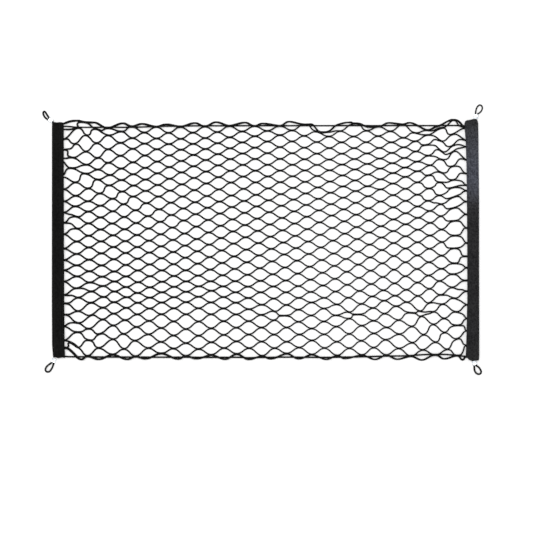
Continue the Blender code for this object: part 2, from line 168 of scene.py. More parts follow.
# Joints that lie off those rows: column, row, x, y, and where they differ from the rest degrees up to
# the right and length
OFF_THE_ROWS = (
    (0, 1, 65.3, 138.9, 25, 2.4), (0, 2, 65.4, 149.6, 5, 2.4), (0, 15, 66.4, 303.5, -3, 4),
    (0, 16, 65.8, 314.7, -8, 3), (0, 18, 64.9, 340.3), (0, 19, 65.2, 347.7), (1, 0, 78.2, 127.8, 0, 3),
    (1, 1, 75.3, 143.8, 18, 3.6), (1, 2, 72.8, 157.6), (1, 3, 70.3, 168, -4, 4.4), (1, 4, 75.5, 182.3),
    (1, 5, 75.7, 195.8), (1, 6, 75, 206.3), (1, 7, 76.4, 216.7, -15, 4.6), (1, 8, 77, 228.6, -12, 3.6),
    (1, 13, 75.8, 288.3), (1, 14, 77.8, 297.7), (1, 15, 78, 311.2), (1, 16, 77.7, 323, -10, 4),
    (1, 17, 77.4, 332.2, 0, 5.6), (1, 18, 78.2, 347.6, -15, 2), (2, 0, 84.5, 122.2, -8, 6.5),
    (2, 1, 86.3, 135.2, -20, 3.8), (2, 4, 85, 173.5, -8, 4.4), (2, 14, 91, 291.5),
    (2, 15, 90.5, 302.8, 5, 3.4), (2, 16, 91, 315.3, 22, 4), (2, 17, 89, 328.8),
    (2, 18, 88.6, 340.2, -9, 5.8), (3, 0, 97, 129.2, -18, 5), (3, 1, 96.5, 143.1, 0, 3.6),
    (3, 2, 97.6, 157.9, 5, 3.4), (3, 3, 98, 169.5), (3, 4, 97.5, 179.5, -6, 3.4), (3, 13, 103, 286),
    (3, 14, 103.5, 297, 0, 3.4), (3, 15, 103, 307.7), (3, 16, 102.5, 319.5), (3, 17, 100, 333.9, 18, 5),
    (3, 18, 98.5, 348, -4, 3.4), (4, 0, 107.3, 128.2, 0, 4), (4, 1, 108, 135.2, -5, 3.6),
    (4, 4, 110, 175), (4, 6, 112.5, 198.7), (4, 7, 113, 211.2), (5, 0, 121.5, 131.5),
    (5, 14, 126.6, 297.2), (5, 15, 126.5, 307.9), (5, 17, 123.5, 334), (5, 18, 124, 349),
    (6, 6, 133, 196.5), (6, 14, 137.4, 293), (6, 15, 137.6, 302.8), (6, 16, 137.2, 314.4),
    (6, 18, 134.5, 340.7), (8, 19, 161.1, 353.4, 0, 5), (12, 14, 211.5, 290.8), (16, 15, 261.8, 304.8),
    (16, 19, 262.3, 355.9), (17, 15, 274.4, 311.4, -20, 3), (17, 16, 274.1, 320.2, 12, 3),
    (18, 16, 284.5, 315.7, 0, 9), (20, 0, 305.6, 124.5, 0, 7.6), (20, 15, 311.5, 302.5),
    (20, 17, 311.8, 328.6), (20, 18, 312.1, 340.5), (21, 0, 317, 131.7, -15, 4.5),
    (21, 14, 324.5, 297.9), (21, 15, 323.8, 308.5), (22, 0, 325.5, 132.2, 5, 5), (22, 1, 329.1, 136.4),
    (22, 2, 329.5, 148), (22, 15, 337.3, 304.5), (22, 16, 335.5, 315.4, 0, 4.5),
    (23, 0, 340.5, 131, 0, 3), (23, 15, 349, 312.2, -15, 3), (23, 16, 349.5, 318.6, 5, 3),
    (23, 17, 349.3, 334), (24, 0, 355.2, 123.4, 0, 7.5), (24, 15, 361.2, 304),
    (24, 16, 358, 314.5, 0, 9), (24, 17, 361.5, 325.7), (24, 19, 362.2, 355), (25, 5, 367.5, 186.2),
    (25, 15, 373.3, 308), (25, 16, 374, 320.8), (26, 1, 378, 136), (26, 17, 387, 327.5, -8, 3.6),
    (27, 15, 396, 306.2), (27, 17, 399.7, 334.2), (28, 16, 411, 312.8, -5, 9), (28, 17, 412.3, 326.5),
    (28, 18, 412.5, 342.8), (29, 0, 414.5, 132.7, -10, 4.2), (29, 15, 420, 311.2, -8, 3),
    (29, 16, 421.3, 316.3, 10, 3), (29, 17, 424, 334.8, 3, 3.4), (29, 18, 422.7, 350, 5, 4),
    (30, 0, 427.7, 130.3, -5, 4.4), (30, 1, 428.3, 134.9, 2, 4.4), (30, 2, 426.3, 144.9, 5, 7),
    (30, 4, 430.7, 165.2), (30, 5, 428.9, 175.2, 8, 3.8), (30, 7, 428.6, 200.7, 0, 4),
    (30, 15, 429, 303.1, 15, 3), (30, 16, 433.6, 311.8, 8, 3.6), (30, 17, 433.2, 324.4, -6, 3.6),
    (30, 18, 436, 342.3, -5, 3.8), (30, 19, 435, 354.8, 0, 5), (31, 0, 443.6, 127.7, 4, 3.6),
    (31, 1, 441.6, 141.1, -18, 3.6), (31, 2, 441.2, 150.9, -38, 5.5), (31, 3, 441.7, 159.5, -12, 4.8),
    (31, 4, 441.5, 172.6, -20, 4.8), (31, 5, 440, 182.2, -2, 4), (31, 6, 440, 195.3, 0, 4),
    (31, 7, 441.2, 204.1, -2, 3.4), (31, 8, 441.3, 216.1), (31, 9, 441.8, 229.5), (31, 13, 439.5, 281),
    (31, 14, 440.5, 295, 0, 3.4), (31, 15, 442.8, 304.2), (31, 16, 444.3, 318.5), (31, 17, 445, 332.6),
    (31, 18, 447.7, 349.4), (32, 0, 453.8, 119.9, 2, 3.4), (32, 1, 452.5, 134.3, 20, 4.6),
    (32, 2, 452, 146, 28, 4.4), (32, 3, 453, 151.6, 34, 4.8), (32, 4, 453, 166.2, 14, 4.6),
    (32, 5, 453.6, 179.9, 5, 4.6), (32, 6, 452.5, 187.6, 14, 4.8), (32, 7, 454.3, 196.8, 20, 6.4),
    (32, 8, 453.8, 207.9, 15, 6), (32, 9, 455.2, 220.8, 3, 7.4), (32, 10, 455.6, 235.6, 1, 8.4),
    (32, 11, 454.4, 248.3, 2, 6), (32, 12, 454.8, 263.4, -2, 7), (32, 13, 453.2, 274.2, 0, 5.6),
    (32, 14, 452.3, 287.4, 0, 3.6), (32, 15, 454.3, 298.3, -12, 4.6), (32, 16, 456, 311.9, -8, 5),
    (32, 17, 457.3, 325.4, 0, 5.6), (32, 18, 457.5, 338.8, 18, 4.4),
)  # fmt: skip

# Strands that enter the left band apart from their neighbour: strand, height, degrees up to the right
ENTRIES = {0: (123.8, 42), 7: (161.8, -52), 8: (174.8, 58), 9: (176.9, 0)}

# Bars that wander between their joints: (strand, column of the left joint): x, y of points on them
WANDERING = {
    (0, 0): ((66.4, 122.6), (70, 121.3), (73.5, 120.7)),
    (1, 0): ((68, 129.6), (71.5, 129.2), (74.4, 128.2)), (3, 0): ((68.9, 139.6), (70.4, 142.2)),
    (4, 0): ((70.2, 148.8), (72.2, 147.4)), (5, 0): ((68.2, 152), (67.2, 155.6)),
    (7, 0): ((65.6, 164.4),), (8, 0): ((65.4, 171.6), (66.4, 169.6)),
    (15, 0): ((68.5, 214.2), (71.5, 214.5)), (16, 0): ((67.5, 220.9), (68.7, 218.1)),
    (17, 0): ((70.8, 223.4), (73.2, 225.4)), (18, 0): ((67.5, 232.5), (70.2, 229.4)),
    (29, 0): ((69, 295.6), (72.2, 295.3)), (34, 0): ((67.6, 323.9), (71, 322.7)),
    (37, 0): ((68.4, 341.2), (70.6, 342.1), (73.8, 343.7), (76.6, 345.9)),
    (38, 0): ((67.6, 347.4), (68.8, 346.3), (68.2, 344.7), (67.8, 343.3), (69.8, 342.7),
     (73, 344.5), (76, 346.8)), (39, 0): ((67.6, 348), (71.2, 350.9), (74.2, 353.8), (76.8, 356.8)),
    (1, 1): ((78, 126.6), (77, 124.4), (77.8, 122.5)), (2, 1): ((82.5, 130.2), (83.4, 132.4)),
    (28, 1): ((83, 288.4),), (1, 2): ((90.6, 125.3), (92.2, 127.2)),
    (2, 2): ((90.6, 133.4), (91, 130.3)), (1, 3): ((101.6, 130.7),), (2, 3): ((101.4, 132.2),),
    (0, 19): ((294, 122.2), (298.5, 123.4)), (0, 20): ((311.8, 124.1), (313.6, 125.5)),
    (1, 20): ((310.3, 126.6), (311.9, 129.2)), (0, 21): ((317.4, 130.3), (319.8, 131.7)),
    (0, 22): ((329.6, 130.8), (331.9, 129.2), (333.8, 127.1), (336, 125.4), (341.4, 123.5)),
    (0, 23): ((352, 122.3),), (32, 29): ((425.6, 312.1), (429.6, 311.4)),
    (33, 29): ((426.4, 314.3), (430, 313.7)), (0, 30): ((434.4, 127.3), (441, 125.2)),
    (1, 30): ((433.6, 130.6), (437.6, 128.5)), (2, 30): ((433.4, 132.6), (437.6, 129.8)),
    (3, 30): ((434, 135.7), (437, 137.6)), (4, 30): ((432, 141.4), (434.2, 139.1)),
    (5, 30): ((435.6, 145.4), (437.2, 147.2)), (6, 30): ((433.2, 153), (434.8, 150.2), (437.2, 149.4)),
    (7, 30): ((435.6, 156.5),), (8, 30): ((434.4, 162.4), (437, 159.8)),
    (10, 30): ((434, 172.6), (437, 171.8)), (12, 30): ((435.4, 185.7), (436.3, 183.4)),
    (15, 30): ((433.2, 202.9), (436.4, 202.7)), (36, 30): ((439.9, 338.4), (440.4, 334.8)),
    (0, 31): ((450.6, 120),), (1, 31): ((448.6, 123.9),), (2, 31): ((446.6, 130.6), (447.6, 133.6)),
    (4, 31): ((444.6, 143.6), (446.4, 146)), (5, 31): ((446.8, 151.1), (449.2, 148.9)),
    (6, 31): ((445.6, 154.5), (448.4, 153.9)), (7, 31): ((447.6, 159), (449.6, 156.2)),
    (8, 31): ((445.8, 163.2), (447.2, 165.8)), (9, 31): ((447.2, 172.2), (449.2, 168.6)),
    (10, 31): ((446, 176.4), (448.6, 179.2)), (11, 31): ((446.6, 182.4), (449.6, 181.4)),
    (12, 31): ((444.4, 185.2), (446.4, 188)), (13, 31): ((447, 192.3), (448.6, 189.9)),
    (14, 31): ((445, 198.2), (447.8, 198.7)), (16, 31): ((444.8, 206.9), (446.4, 208.8)),
    (18, 31): ((444.9, 219.3), (447, 221.1)), (22, 31): ((445.4, 245.3), (447.4, 247.8)),
    (30, 31): ((446.8, 295.1), (449.6, 296.4)), (34, 31): ((449.4, 321), (451, 323.8)),
    (35, 31): ((448.2, 330.2), (449.8, 327.5)), (37, 31): ((451.2, 345.4), (452.6, 341.9)),
    (0, 32): ((458.4, 120.9), (461, 123.6), (462.8, 126.2)),
    (1, 32): ((457.2, 122.4), (458.2, 125.2), (461, 126.6)), (4, 32): ((456.6, 141.2), (459.6, 139.3)),
    (5, 32): ((459, 144.4),), (6, 32): ((457.6, 148.5), (460.6, 148), (463.2, 147.5)),
    (8, 32): ((457.6, 161.2), (459.2, 158.8)), (9, 32): ((459.4, 166.4), (461.3, 168.6)),
    (10, 32): ((458.2, 175.6), (459.8, 173.2)), (11, 32): ((460.2, 180.6), (463, 182), (464, 183.4)),
    (12, 32): ((457.6, 186), (460.6, 185.3), (463, 185.3)), (13, 32): ((460.2, 187.6), (462.6, 188.8)),
    (14, 32): ((460.4, 194.2), (462.6, 192.2)), (16, 32): ((460.2, 205), (462.4, 203.3)),
    (18, 32): ((460, 218.4), (462.3, 216.5)), (19, 32): ((460.6, 221.6), (462.6, 224.4)),
    (20, 32): ((460.9, 233.8), (462.6, 230.6)), (21, 32): ((462.4, 238), (464, 240.6)),
    (22, 32): ((460.8, 247.2), (463.6, 245)), (23, 32): ((459.9, 250.2), (461.1, 253)),
    (24, 32): ((459.4, 260.4), (460.2, 258.1)), (25, 32): ((461.4, 264.3), (463.8, 265.8)),
    (26, 32): ((459.2, 272.6), (461.8, 271.4), (463.8, 269.5)),
    (29, 32): ((457.4, 289.4), (462.6, 289.6)), (31, 32): ((459.8, 300.4), (462.8, 302.4)),
    (33, 32): ((462.6, 314), (464.8, 316.4)), (35, 32): ((463.4, 325.6), (464.8, 327.4), (465, 329.4)),
    (38, 32): ((461.2, 355), (463.2, 351), (464.2, 347.6)),
    (39, 32): ((460.6, 358.4), (461.9, 360), (463.8, 359.4), (464.6, 357.4)),
}  # fmt: skip

# Slacker bars, which stand steeper between their joints: length as a share of the straight line
SLACKER = {
    (9, 1): 1.14, (10, 2): 1.14, (11, 3): 1.14, (12, 4): 1.14, (13, 5): 1.14, (14, 6): 1.12,
    (15, 7): 1.1, (16, 8): 1.08, (17, 9): 1.08, (10, 29): 1.12, (11, 30): 1.14, (12, 29): 1.12,
    (13, 30): 1.12, (14, 29): 1.14,
}  # fmt: skip

# A spare end of the lowest strand, laid beside it from the left band to the edge
SPARE_POINTS = 40
SPARE_END = (
    (60, 348.7), (64.5, 348.7), (67.1, 348.9), (70.6, 351.5), (73.6, 354.4), (76.2, 357.4),
    (78.4, 358.9), (80.6, 359.2),
)  # fmt: skip

# Each band, from its top end to its bottom end: inner edge x, y, folded edge x, y on the sheet
BANDS = {
    "band_left": (
        (63.3, 122.4, 52.3, 121.6),
        (63.6, 126, 51.9, 126),
        (63.65, 180, 51.9, 180),
        (63.8, 240, 51.85, 240),
        (64.1, 300, 51.8, 300),
        (64.4, 345, 52.05, 345),
        (65, 357.9, 53.1, 357.9),
    ),
    "band_right": (
        (465.3, 120.6, 477.2, 118.9),
        (464.5, 124, 478.2, 123),
        (465.8, 140, 478.5, 140),
        (466.6, 163, 478.7, 163),
        (467.1, 200, 479.1, 200),
        (467.4, 240, 479.1, 240),
        (467.5, 300, 479.2, 300),
        (466.4, 345, 479.3, 345),
        (465.9, 356.2, 479.3, 355.6),
        (469, 359.8, 478.9, 360.9),
    ),
}
# How far each cut end falls short of a straight one, at the top and at the bottom: share across the band
# from its inner edge, and shortfall on the sheet
CUT_ENDS = {
    "band_left": (
        ((0, 1.6), (0.09, 0), (0.3, 0.15), (0.57, 0.65), (0.85, 0.5), (1, -1.3)),
        ((0, 0.2), (0.33, 0.4), (0.55, -0.3), (0.75, 0.6), (1, 0.5)),
    ),
    "band_right": (
        ((0, 0.5), (0.15, 0), (0.48, 0), (0.56, -0.35), (0.85, 0), (1, 1.1)),
        ((0, 0), (0.1, -0.3), (0.35, -0.9), (0.5, -0.25), (0.75, 0.1), (1, 0.6)),
    ),
}
CUT_FADE = 0.006  # the length over which a cut end's unevenness fades
LAYER = 0.0012  # thickness of the tape
BAND_HEIGHT = 0.0070
BAND_LIFT = 0.00005
FOLD_TURNS = 10  # steps round the fold, across each layer and along the band
ACROSS = 12
ALONG = 220
SWELL = 0.0002  # the most that the upper layer swells or sinks between its edges
SWELLS = 40  # along the band
STITCH_ROWS = (0.0030, 0.0075, 0.0205)  # from the band's inner edge
STITCH_STEP = 0.008  # of the band's length
STITCH = (0.00035, 0.0016, 0.0003)  # half its width, length and height
STITCH_TURN = 4  # degrees
STITCH_RISE = 0.00008
RIB = 0.0016  # the tape's ribs and the threads along them, from one to the next
THREAD = 0.0010
BAND_SEED = 11
# Painted sheen on the right band, standing in for the light it catches: y on the sheet, and how many
# times lighter its colour is painted there
PAINTED_SHEEN = (
    (118, 1.1), (124, 1.4), (131, 2), (145, 2.5), (160, 3.1), (178, 3.3), (191, 3), (198, 2.3),
    (204, 1.4), (212, 1), (362, 0.95),
)  # fmt: skip
PAINTED_SHEEN_TINT = (0.94, 1.0, 1.2)  # of the painted sheen's light at its brightest

CORD = 0.0038  # the edge cords and the loops at their ends
CORD_SIDES = 12
CORD_POINTS = 420
CORD_STEPS = 8
EDGE_CORDS = {
    "edge_cord_top": (
        (55, 126.2), (65.5, 126.3), (71.5, 126.7), (80, 127.2), (130, 127.2), (180, 126),
        (250, 125.7), (350, 125.6), (452, 125.5), (458, 125.6), (463, 125.8), (475, 126),
    ),
    "edge_cord_bottom": (
        (55.5, 356.5), (65.5, 356.5), (71.5, 356.7), (110, 357), (200, 357.3), (237, 357.4),
        (249, 357.8), (261, 357.4), (300, 357.2), (326, 357.4), (345, 357.1), (380, 356.3),
        (405, 355.8), (425, 354.6), (445, 354.5), (452, 354.9), (458, 355.4), (463.5, 356.2),
        (475, 357),
    ),
}  # fmt: skip
CORD_WIDTH = {"edge_cord_top": 0.82, "edge_cord_bottom": 0.9}  # drawn out by the net, as a share of CORD
BRAID = 8.0  # cells of the plait round a cord
# The braided cords' blacks: the lighter one is painted on the plait's raised yarns, a painted highlight,
# mixed with a random mottle
CORD_BLACK = ((0.0015, 0.0015, 0.0015), (0.0085, 0.0082, 0.008))
EDGE_CORD_RISE = 0.0025  # of an edge cord where it crosses over the strands
STRAND_RISE = 0.0033  # of a strand where it crosses over an edge cord
RISE_FADE = (1.8, 4.8)  # how far from the cord, on the sheet, the strand's rise is full and nil
LACING = 4  # columns of the mesh from one pass of an edge cord over its joints to the next

LEG_GAP = 0.00035  # between the two legs of a loop
LEG_DEPTH = 0.0060  # of each leg inside its clip
LEG_STRAIGHT = 0.0012  # of each leg before its clip
CLIP_GAP = 0.0003
THIN_LOOP = ("loop_top_right", 0.0031)  # drawn tighter than the others, so its cord is thinner
CLIP_SIZE = (0.0092, 0.0082, 0.0050)  # across the legs, along them, and high
CLIP_WALL = 0.0005
CLIP_CORNER = 0.0016
CLIP_SHARP = 50  # degrees between its faces at a sharp edge
CLIP_PRESS = 0.0005  # how deep its middle is pressed in, above and below
# How much of that it is pressed in, along its length
CLIP_PRESSES = ((-0.5, 0), (-0.38, 0), (-0.2, 0.6), (0, 1), (0.2, 0.6), (0.38, 0), (0.5, 0))
# x, y of each clip's middle on the sheet, and which way its loop points, degrees up from the right
CLIPS = {
    "clip_top_left": (50.6, 120.2, 145),
    "clip_top_right": (476.1, 116.5, 80),
    "clip_bottom_left": (53.6, 360.4, 250),
    "clip_bottom_right": (474.55, 362.95, 285),
}
# Each loop beyond its clip, from one leg round to the other: x, y on the sheet
LOOPS = {
    "loop_top_left": (
        (46.3, 118.6), (44.8, 117.2), (43.6, 115.3), (43, 113.2), (43.3, 111.9), (44.2, 111.4),
        (45.2, 111.9), (46.1, 113.4), (47.2, 115.2), (48.2, 116.7),
    ),
    "loop_top_right": (
        (475.8, 112), (476.1, 110.2), (476.8, 108), (478.1, 105.9), (480, 104.9), (481.8, 105.8),
        (482.5, 107.9), (481.8, 110.3), (480.4, 112.1), (478.9, 113.2),
    ),
    "loop_bottom_left": (
        (50.4, 363.5), (48.4, 364.9), (46.6, 366.6), (45.4, 368.8), (45.6, 371), (47.4, 372),
        (49.5, 371.4), (51.2, 369.3), (52.4, 367), (53.2, 364.9),
    ),
    "loop_bottom_right": (
        (474.4, 367.5), (474.5, 369.5), (475.2, 371.7), (476.9, 373.6), (479, 374.2), (480.8, 373.3),
        (481.2, 371.4), (480.3, 369.4), (478.8, 367.3), (477.3, 366.3),
    ),
}  # fmt: skip

CAMERA_HEIGHT = 3.2
NET_LEVEL = 0.0035  # the level at which the picture has the sheet's scale
SENSOR = 36.0
WORLD_STRENGTH = 0.64
FLOOR_HALF = 6.0
# name, place, size, watts
LIGHTS = (("overhead", (-0.2, 0.3, 3.9), 2.4, 90.0), ("side", (-1.5, 1.3, 2.0), 1.4, 8.0))


# ---------------------------------------------------------------- the plan


def place(x, y):
    return Vector(((x - SHEET_MIDDLE[0]) * UNIT, (SHEET_MIDDLE[1] - y) * UNIT))


def flat(x, y):
    return np.array((x, y), float)


def heading(turn):
    return flat(math.cos(turn), math.sin(turn))


def in_metres(x, y, z):
    """Points from x, y on the sheet and their heights."""
    return np.stack([(x - SHEET_MIDDLE[0]) * UNIT, (SHEET_MIDDLE[1] - y) * UNIT, z], axis=1)


LAST_ROW = ROWS - 1
EDGE_STRANDS = (0, STRANDS - 1)
MOVED = {row[:2]: row[2:] for row in OFF_THE_ROWS}
BIGHTS = {
    strand: {row[0]: row[1:] for row in rows}
    for strand, rows in zip(EDGE_STRANDS, (TOP_BIGHTS, BOTTOM_BIGHTS))
}


def joint_place(column, row):
    """Where two strands meet, on the sheet. Odd columns lie half a mesh below the even ones."""
    if (column, row) in MOVED:
        return flat(*MOVED[column, row][:2])
    if column == COLUMNS - 1:
        return flat(LAST_X, LAST_COLUMN[row][0])
    if column % 2:
        around = [(c, r) for c in (column - 1, column + 1) for r in (row, row + 1)]
        return np.mean([joint_place(*where) for where in around], axis=0)
    rows = sorted(COLUMN_X)
    across = [np.interp(row, rows, [COLUMN_X[r][n] for r in rows]) for n in range(len(STATIONS))]
    return flat(np.interp(column, STATIONS, across), np.interp(column, STATIONS, JOINT_ROWS[row]))


def rows_of(column):
    return ROWS - column % 2


JOINTS = {(c, r): joint_place(c, r) for c in range(COLUMNS) for r in range(rows_of(c))}


def meeting(column, strand):
    """The row of the joint that a strand passes in a column, and its side there: -1 above, +1 below."""
    if column % 2 and strand in EDGE_STRANDS:
        return None, 0
    return (strand - column % 2) // 2, (1 if (strand + column) % 2 else -1)


def lie(column, row):
    """A joint's direction on the sheet, and its length."""
    if len(MOVED.get((column, row), ())) == 4:
        _, _, degrees, length = MOVED[column, row]
        return heading(math.radians(-degrees)), length
    if column == 0:
        return heading(0.0), FIRST_JOINT
    if column == COLUMNS - 1:
        _, degrees, length = LAST_COLUMN[row]
        return heading(math.radians(degrees)), length
    if column % 2 == 0 and row in (0, LAST_ROW):
        return heading(0.0), JOINT_LENGTH
    beside = (row - 1, row) if column % 2 == 0 else (row, row + 1)
    before, after = (
        np.mean([JOINTS[c, r] for r in beside if 0 <= r < rows_of(c)], axis=0)
        for c in (column - 1, column + 1)
    )
    return heading(JOINT_TILT * math.atan2(*(after - before)[::-1])), JOINT_LENGTH


def crossings(strand):
    """For each column, where a strand's straight stretch begins and ends there, and its direction."""
    found = []
    for column in range(COLUMNS):
        row, side = meeting(column, strand)
        if row is None:
            x, y, *slope = BIGHTS[strand][column]
            middle, along = flat(x, y), heading(math.radians(*slope or (0.0,)))
            beside = [JOINTS[c, meeting(c, strand)[0]] for c in (column - 1, column + 1) if c < COLUMNS]
            near = min(abs(middle[0] - p[0]) for p in beside)
            half = min(BIGHT_HALF, near / 4) if column < COLUMNS - 1 else LAST_BIGHT_HALF
        else:
            along, length = lie(column, row)
            middle = JOINTS[column, row]
            if column == 0 and strand in ENTRIES:
                height, degrees = ENTRIES[strand]
                middle, length = flat(ENTRY_X, height), ENTRY_LENGTH
                along = heading(math.radians(-degrees))
            middle = middle + flat(-along[1], along[0]) * JOINT_OFFSET * side
            half = length / 2
            if column == COLUMNS - 1:
                middle = middle - along * half
        found.append((middle - along * half, middle + along * half, along))
    return found


def bend(start, leave, end, arrive, reach):
    """A curve from start to end that leaves and arrives along the given directions."""
    s = np.linspace(0, 1, 2 * BAR_POINTS + 3)[:, None]
    b, c, t = start + leave * reach, end - arrive * reach, 1 - s
    return start * t**3 + 3 * b * s * t**2 + 3 * c * s**2 * t + end * s**3


def run_steps(points):
    """How far along a run each of its points lies."""
    return np.concatenate([[0.0], np.cumsum(np.linalg.norm(np.diff(points, axis=0), axis=1))])


def bar(start, leave, end, arrive, length):
    """The strand between two joints: it leaves and arrives along them, and is of the given length."""
    chord = np.linalg.norm(end - start)
    low, high = REACHES[0] * chord, REACHES[1] * length
    for _ in range(HALVINGS):
        middle = (low + high) / 2
        if run_steps(bend(start, leave, end, arrive, middle))[-1] < length:
            low = middle
        else:
            high = middle
    return bend(start, leave, end, arrive, (low + high) / 2)


def through(points, steps):
    """Points on a smooth curve through the given ones."""
    p = np.array(points, float)
    run = np.vstack([2 * p[0] - p[1], p, 2 * p[-1] - p[-2]])
    found = []
    for a, b, c, d in zip(run, run[1:], run[2:], run[3:]):
        for n in range(steps):
            t = n / steps
            curve = (c - a) * t + (2 * a - 5 * b + 4 * c - d) * t**2 + (3 * b - 3 * c + d - a) * t**3
            found.append(b + curve / 2)
    return np.array([*found, p[-1]])


def resampled(points, count):
    """The same run with count points at even steps along it."""
    steps = run_steps(points)
    at = np.linspace(0.0, steps[-1], count)
    return np.stack([np.interp(at, steps, points[:, k]) for k in range(points.shape[1])], axis=1)


def strand_route(strand, chance):
    """One strand from inside the left band to inside the right one: x, y on the sheet, its arch, and 1
    where it is knit to its neighbour."""
    stops = crossings(strand)
    first, last = stops[0][0], stops[-1][1]
    route = [(first[0] - run, first[1], 0.0, 0.0) for run in LEFT_RUN]
    for column in range(COLUMNS):
        start, end, along = stops[column]
        for point, knit in ((start, JOINT_END), ((start + end) / 2, 1.0), (end, JOINT_END)):
            route.append((*point, 0.0, knit))
        if column == COLUMNS - 1:
            break
        goal, _, arrive = stops[column + 1]
        if (strand, column) in WANDERING:
            line = through([end, *WANDERING[strand, column], goal], CURVE_STEPS)
            count = max(WANDER_POINTS, 3 * len(WANDERING[strand, column]))
        else:
            chord = np.linalg.norm(goal - end)
            loose = min(max(BAR_SLACK, SHORTEST_BAR / chord), MOST_SLACK)
            loose = EDGE_SLACK if strand in EDGE_STRANDS else SLACKER.get((strand, column), loose)
            line = bar(end, along, goal, arrive, loose * chord)
            count = BAR_POINTS + 2
        arch = chance.uniform(*ARCH_SHARES) * ARCH
        line = resampled(line, count)[1:-1]
        for n, point in enumerate(line):
            share = (n + 1) / (len(line) + 1)
            route.append((*point, arch * math.sin(math.pi * share) ** 2, 0.0))
    route += [(last[0] + run, last[1], 0.0, 0.0) for run in RIGHT_RUN]
    route = np.array(route)
    for _ in range(EASINGS):
        route[1:-1, :2] = (route[:-2, :2] + 2 * route[1:-1, :2] + route[2:, :2]) / 4
    return route


def share_up(x):
    """How far up the ramp into a band's slot the mesh lies, at x on the sheet."""
    (left_top, left_foot), (right_top, right_foot) = RAMP
    return np.interp(x, (left_top, left_foot, right_foot, right_top), (1.0, 0.0, 0.0, 1.0))


def column_at(x, row):
    """Which column of the mesh an x on the sheet lies in, with its fraction."""
    xs = [JOINTS[c, row][0] for c in range(0, COLUMNS, 2)]
    return np.interp(x, xs, range(0, COLUMNS, 2))


def cord_on_top(x, row):
    """1 where an edge cord passes over the joints of an edge row, 0 where it passes under them."""
    wave = 0.5 + 0.5 * np.cos(2 * np.pi * column_at(x, row) / LACING)
    share = np.interp(wave, (0.2, 0.8), (0.0, 1.0))
    return share * share * (3 - 2 * share)


def strand_points(strand, chance):
    """A strand's centreline in metres, and its width at each point as a share of the full one."""
    x, y, arch, knit = strand_route(strand, chance).T
    up = share_up(x)
    low = STRAND_RADIUS + LIFT
    z = low + up * (SLOT_Z - low) + arch * (1 - up)
    for row, name, edge in zip((0, LAST_ROW), EDGE_CORDS, EDGE_STRANDS):
        if abs(strand - edge) < 2:
            beside = np.abs(y - np.interp(x, *zip(*EDGE_CORDS[name])))
            close = np.interp(beside, RISE_FADE, (1.0, 0.0))
            z += STRAND_RISE * close * (1 - cord_on_top(x, row)) * (1 - up)
    width = (1 - (1 - JOINT_PINCH) * knit) * np.interp(x, *zip(*SLACK_WIDTH))
    if strand in EDGE_STRANDS:
        width *= EDGE_WIDTH
    return in_metres(x, y, z), width


# ---------------------------------------------------------------- meshes


def tube_mesh(name, routes, widths, radius, sides):
    """Cords along the routes, in one mesh, with a UV map of turns round by turns along. The widths are
    shares of the full width at each point, and the cords keep their full height."""
    verts, faces, uvs = [], [], []
    for route, share in zip(routes, widths):
        base = len(verts)
        ahead = np.gradient(route, axis=0)
        ahead /= np.linalg.norm(ahead, axis=1)[:, None]
        side = np.cross(ahead, (0.0, 0.0, 1.0))
        side /= np.linalg.norm(side, axis=1)[:, None]
        up = np.cross(side, ahead)
        along = run_steps(route) / (2 * math.pi * radius)
        for middle, s, u, w in zip(route, side, up, share):
            for n in range(sides):
                turn = 2 * math.pi * n / sides
                verts.append(middle + radius * (w * math.cos(turn) * s + math.sin(turn) * u))
        for k in range(len(route) - 1):
            for n in range(sides):
                m = (n + 1) % sides
                a, b = base + k * sides, base + (k + 1) * sides
                faces.append((a + n, b + n, b + m, a + m))
                uvs += [(n / sides, along[k]), (n / sides, along[k + 1])]
                uvs += [((n + 1) / sides, along[k + 1]), ((n + 1) / sides, along[k])]
        end = base + (len(route) - 1) * sides
        faces.append(tuple(base + n for n in range(sides)))
        faces.append(tuple(end + n for n in reversed(range(sides))))
        uvs += [(n / sides, along[0]) for n in range(sides)]
        uvs += [(n / sides, along[-1]) for n in reversed(range(sides))]
    mesh = bpy.data.meshes.new(name)
    mesh.from_pydata([tuple(v) for v in verts], [], faces)
    layer = mesh.uv_layers.new(name="braid")
    layer.data.foreach_set("uv", np.array(uvs, np.float32).ravel())
    mesh.shade_smooth()
    return mesh


def taken(shape, name):
    """A smooth mesh from a bmesh, which is freed."""
    mesh = bpy.data.meshes.new(name)
    shape.to_mesh(mesh)
    shape.free()
    mesh.shade_smooth()
    return mesh


def add(name, data, material=None):
    made = bpy.data.objects.new(name, data)
    bpy.context.scene.collection.objects.link(made)
    if material:
        data.materials.append(material)
    return made


# ---------------------------------------------------------------- materials


